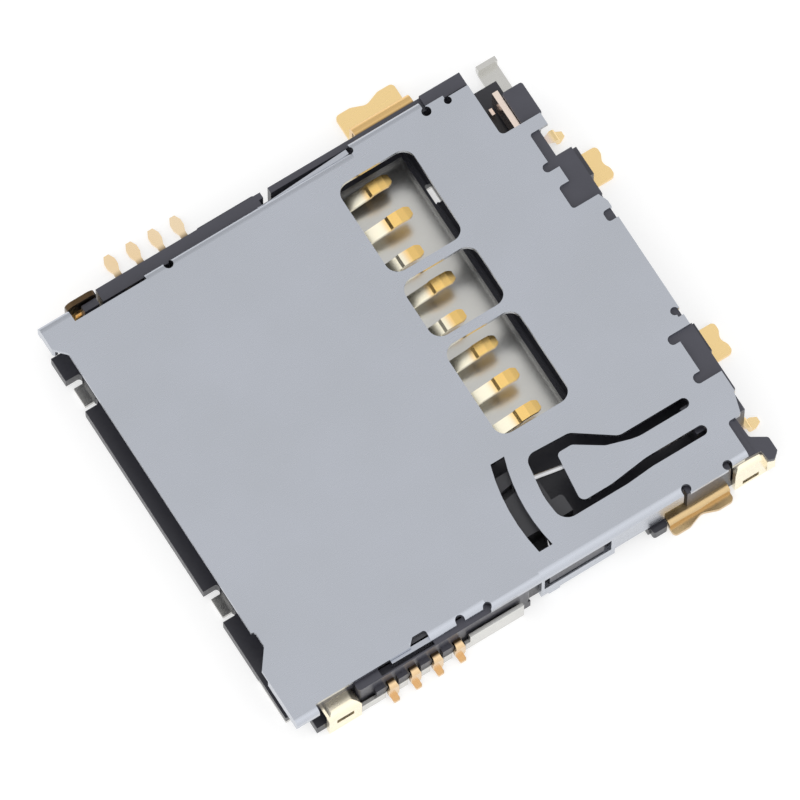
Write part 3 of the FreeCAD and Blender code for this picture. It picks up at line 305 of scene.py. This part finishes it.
def tab_patches():
    """Colours of the tabs: painted shade on the left uprights, plain gold on the left foot and
    rear feet, painted shade on the left tops and rear necks, then a painted highlight on the two
    hold-downs and painted shade on the wide tab on the right."""
    foot = srgb(255, 223, 161)
    painted_highlight = srgb(255, 245, 220)
    return [
        # painted shade: deeper gold on the upper bends of the left uprights
        (srgb(242, 202, 138), [("X", -6.90, -6.80), ("Z", 0.90, 0.20)]),
        (foot, [("X", -7.52, -7.42)]),
        (foot, [("Y", 7.98, 7.80)]),
        # painted shade: brown on the left tops and on the rear necks
        (PAINTED_NECK_SHADE, [("X", -7.06, -7.16), ("X", -6.66, -6.60), ("Z", 1.10, 0.90)]),
        (PAINTED_NECK_SHADE, [("Y", 7.60, 7.66), ("Y", 7.50, 7.40)]),
        # painted highlight: near-white gold on the two hold-downs on the right
        (painted_highlight, [("X", 6.28, 6.22), ("Y", -5.0, -4.0)]),
        (painted_highlight, [("X", 6.28, 6.22), ("Y", 6.28, 6.22)]),
        # painted shade: duller gold over the wide tab on the right and its bend
        (srgb(212, 184, 138), [("X", 6.55, 6.45), ("Y", 4.20, 4.10), ("Y", 6.24, 6.27)]),
    ]


def materials():
    """The record's slots, each as a procedural material."""
    switch_tails = [(srgb(255, 226, 170), [("Y", 7.60, 7.40)])]
    metals = {
        "cover_steel": (srgb(189, 193, 201), srgb(192, 196, 205), 0.27),
        "plate_steel": (srgb(204, 203, 199), srgb(216, 215, 211), 0.24, (), 0.94),
        "gold_contact": (srgb(252, 222, 176), srgb(255, 234, 200), 0.22, contact_patches()),
        "gold_tab": (srgb(252, 220, 158), srgb(255, 232, 178), 0.28, tab_patches()),
        "switch_metal": (srgb(240, 218, 204), srgb(250, 234, 222), 0.26, switch_tails),
        "spring_steel": (srgb(196, 196, 198), srgb(216, 216, 218), 0.25),
    }
    plastics = {
        # each plastic's first colour is the painted shade of its low parts
        "housing_plastic": ((0.032, 0.032, 0.041), (0.056, 0.056, 0.072), 0.36),
        "slider_plastic": ((0.045, 0.045, 0.050), (0.050, 0.050, 0.056), 0.42),
    }
    made = {name: metal(name, *look) for name, look in metals.items()}
    made.update({name: plastic(name, *look) for name, look in plastics.items()})
    return made


def edge_smoother():
    """Node group that shades curved faces smooth and keeps edges over SHARP_EDGE sharp."""
    group = bpy.data.node_groups.new("smooth_by_angle", "GeometryNodeTree")
    group.interface.new_socket("Geometry", in_out="INPUT", socket_type="NodeSocketGeometry")
    group.interface.new_socket("Geometry", in_out="OUTPUT", socket_type="NodeSocketGeometry")
    start = group.nodes.new("NodeGroupInput")
    end = group.nodes.new("NodeGroupOutput")
    faces = group.nodes.new("GeometryNodeSetShadeSmooth")
    faces.domain = "FACE"
    faces.inputs["Shade Smooth"].default_value = True
    edges = group.nodes.new("GeometryNodeSetShadeSmooth")
    edges.domain = "EDGE"
    edges.inputs["Shade Smooth"].default_value = False
    angle = group.nodes.new("GeometryNodeInputMeshEdgeAngle")
    sharp = group.nodes.new("FunctionNodeCompare")
    sharp.data_type = "FLOAT"
    sharp.operation = "GREATER_THAN"
    sharp.inputs["B"].default_value = SHARP_EDGE
    group.links.new(angle.outputs["Unsigned Angle"], sharp.inputs["A"])
    group.links.new(sharp.outputs["Result"], edges.inputs["Selection"])
    group.links.new(start.outputs[0], faces.inputs["Geometry"])
    group.links.new(faces.outputs["Geometry"], edges.inputs["Geometry"])
    group.links.new(edges.outputs["Geometry"], end.inputs[0])
    return group


def dress_nodes(made):
    """Each CAD node takes the material of its slot and is shaded smooth over its bends."""
    smoother = edge_smoother()
    for part in frame["record"]["subparts"]:
        node = nodes[part["node"]]
        node.data.materials.clear()
        node.data.materials.append(made[part["material_slot"]])
        smooth = node.modifiers.new("smooth_bends", "NODES")
        smooth.node_group = smoother
        if not part["node"].startswith("contact_"):
            flats = node.modifiers.new("flat_faces", "WEIGHTED_NORMAL")
            flats.keep_sharp = True


# Pieces


def coil_rise(t, length):
    """How far the coil has come along its axis at the share t of its turns."""
    closed = SPRING_CLOSED / SPRING_TURNS
    if t < closed:
        return SPRING_WIRE * SPRING_CLOSE_PITCH * t * SPRING_TURNS
    if t > 1 - closed:
        return length - SPRING_WIRE * SPRING_CLOSE_PITCH * (1 - t) * SPRING_TURNS
    lead = SPRING_WIRE * SPRING_CLOSE_PITCH * SPRING_CLOSED
    return lead + (length - 2 * lead) * (t - closed) / (1 - 2 * closed)


def spring_coil(made):
    """The eject spring as a round wire, with its end turns closed and flat."""
    low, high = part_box("eject_spring")
    middle = (low + high) / 2
    radius = (high.x - low.x) / 2 - SPRING_WIRE / 2
    length = high.y - low.y - SPRING_WIRE
    mesh = bpy.data.meshes.new("eject_spring_coil")
    bm = bmesh.new()
    count = int(SPRING_TURNS * SPRING_STEPS)
    up = Vector((0, 1, 0))
    rings = []
    for i in range(count + 1):
        t = i / count
        angle = 2 * math.pi * SPRING_TURNS * t
        centre = Vector((middle.x + radius * math.cos(angle),
                         low.y + SPRING_WIRE / 2 + coil_rise(t, length),
                         middle.z + radius * math.sin(angle)))
        out = Vector((math.cos(angle), 0, math.sin(angle)))
        ring = []
        for k in range(SPRING_SIDES):
            turn = 2 * math.pi * k / SPRING_SIDES
            rim = (out * math.cos(turn) + up * math.sin(turn)) * SPRING_WIRE / 2
            ring.append(bm.verts.new(centre + rim))
        rings.append(ring)
    for a, b in zip(rings[:-1], rings[1:]):
        for k in range(SPRING_SIDES):
            after = (k + 1) % SPRING_SIDES
            bm.faces.new((a[k], a[after], b[after], b[k]))
    bm.faces.new(rings[0])
    bm.faces.new(rings[-1][::-1])
    bmesh.ops.recalc_face_normals(bm, faces=bm.faces)
    for face in bm.faces:
        face.smooth = True
    bm.to_mesh(mesh)
    bm.free()
    piece = bpy.data.objects.new("eject_spring_coil", mesh)
    bpy.context.scene.collection.objects.link(piece)
    mesh.materials.append(made["spring_steel"])
    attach(piece, "socket")
    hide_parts("eject_spring")
    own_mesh(piece)


# Stage


def floor():
    """A white table that shows pure white and keeps the object's shadow."""
    bpy.ops.mesh.primitive_plane_add(size=TABLE_SIZE, location=(0, 0, -TABLE_GAP))
    plane = bpy.context.object
    plane.name = "floor"
    material, tree, output = new_material("white_table")
    shader = add(tree, "ShaderNodeBsdfDiffuse", Color=(TABLE_GREY, TABLE_GREY, TABLE_GREY, 1))
    glow = add(tree, "ShaderNodeEmission", Color=(1, 1, 1, 1), Strength=TABLE_GLOW)
    path = tree.nodes.new("ShaderNodeLightPath")
    seen = calculate(tree, "MAXIMUM", path.outputs["Is Camera Ray"], path.outputs["Is Glossy Ray"])
    seen = calculate(tree, "MAXIMUM", seen, path.outputs["Is Transmission Ray"])
    both = tree.nodes.new("ShaderNodeAddShader")
    tree.links.new(shader.outputs[0], both.inputs[0])
    tree.links.new(glow.outputs[0], both.inputs[1])
    mix = tree.nodes.new("ShaderNodeMixShader")
    tree.links.new(seen, mix.inputs[0])
    tree.links.new(shader.outputs[0], mix.inputs[1])
    tree.links.new(both.outputs[0], mix.inputs[2])
    tree.links.new(mix.outputs[0], output.inputs["Surface"])
    plane.data.materials.append(material)


def world():
    """A plain studio: grey beyond the object, brighter overhead and on the side of SKY_TOWARDS."""
    studio = bpy.data.worlds.new("studio")
    bpy.context.scene.world = studio
    studio.use_nodes = True
    tree = studio.node_tree
    tree.nodes.clear()
    output = tree.nodes.new("ShaderNodeOutputWorld")
    sky = tree.nodes.new("ShaderNodeBackground")
    sky.inputs["Color"].default_value = (1, 1, 1, 1)
    coord = tree.nodes.new("ShaderNodeTexCoord")
    towards = tree.nodes.new("ShaderNodeVectorMath")
    towards.operation = "DOT_PRODUCT"
    towards.inputs[1].default_value = (*SKY_TOWARDS, 0)
    link(tree, coord, "Generated", towards, 0)
    place = add(tree, "ShaderNodeMapRange", From_Min=-1.0, From_Max=1.0, To_Min=0.0, To_Max=1.0)
    link(tree, towards, "Value", place, "Value")
    curve = tree.nodes.new("ShaderNodeValToRGB")
    steps = curve.color_ramp.elements
    while len(steps) < len(SKY_STEPS):
        steps.new(0.5)
    for step, (at, level) in zip(steps, SKY_STEPS):
        step.position = at
        step.color = (level / SKY_SCALE, level / SKY_SCALE, level / SKY_SCALE, 1)
    link(tree, place, "Result", curve, "Fac")
    strength = calculate(tree, "MULTIPLY", curve.outputs["Color"], SKY_SCALE)
    tree.links.new(strength, sky.inputs["Strength"])
    tree.links.new(sky.outputs[0], output.inputs["Surface"])


def camera():
    """The photograph's own view."""
    data = bpy.data.cameras.new("camera")
    data.lens = PHOTO_LENS
    data.sensor_width = SENSOR
    data.clip_start = CLIP_NEAR
    data.clip_end = CLIP_FAR
    eye = bpy.data.objects.new("camera", data)
    bpy.context.scene.collection.objects.link(eye)
    level = math.cos(PHOTO_ELEVATION)
    back = Vector((level * math.cos(PHOTO_TURN), -level * math.sin(PHOTO_TURN),
                   math.sin(PHOTO_ELEVATION)))
    right = Vector((math.sin(PHOTO_TURN), math.cos(PHOTO_TURN), 0))
    up = back.cross(right)
    place = Matrix.Translation(Vector(PHOTO_TARGET) + back * PHOTO_DISTANCE)
    eye.matrix_world = place @ Matrix((right, up, back)).transposed().to_4x4()
    bpy.context.scene.camera = eye


made = materials()
dress_nodes(made)
spring_coil(made)
floor()
world()
camera()
bpy.context.scene.view_settings.view_transform = "Standard"
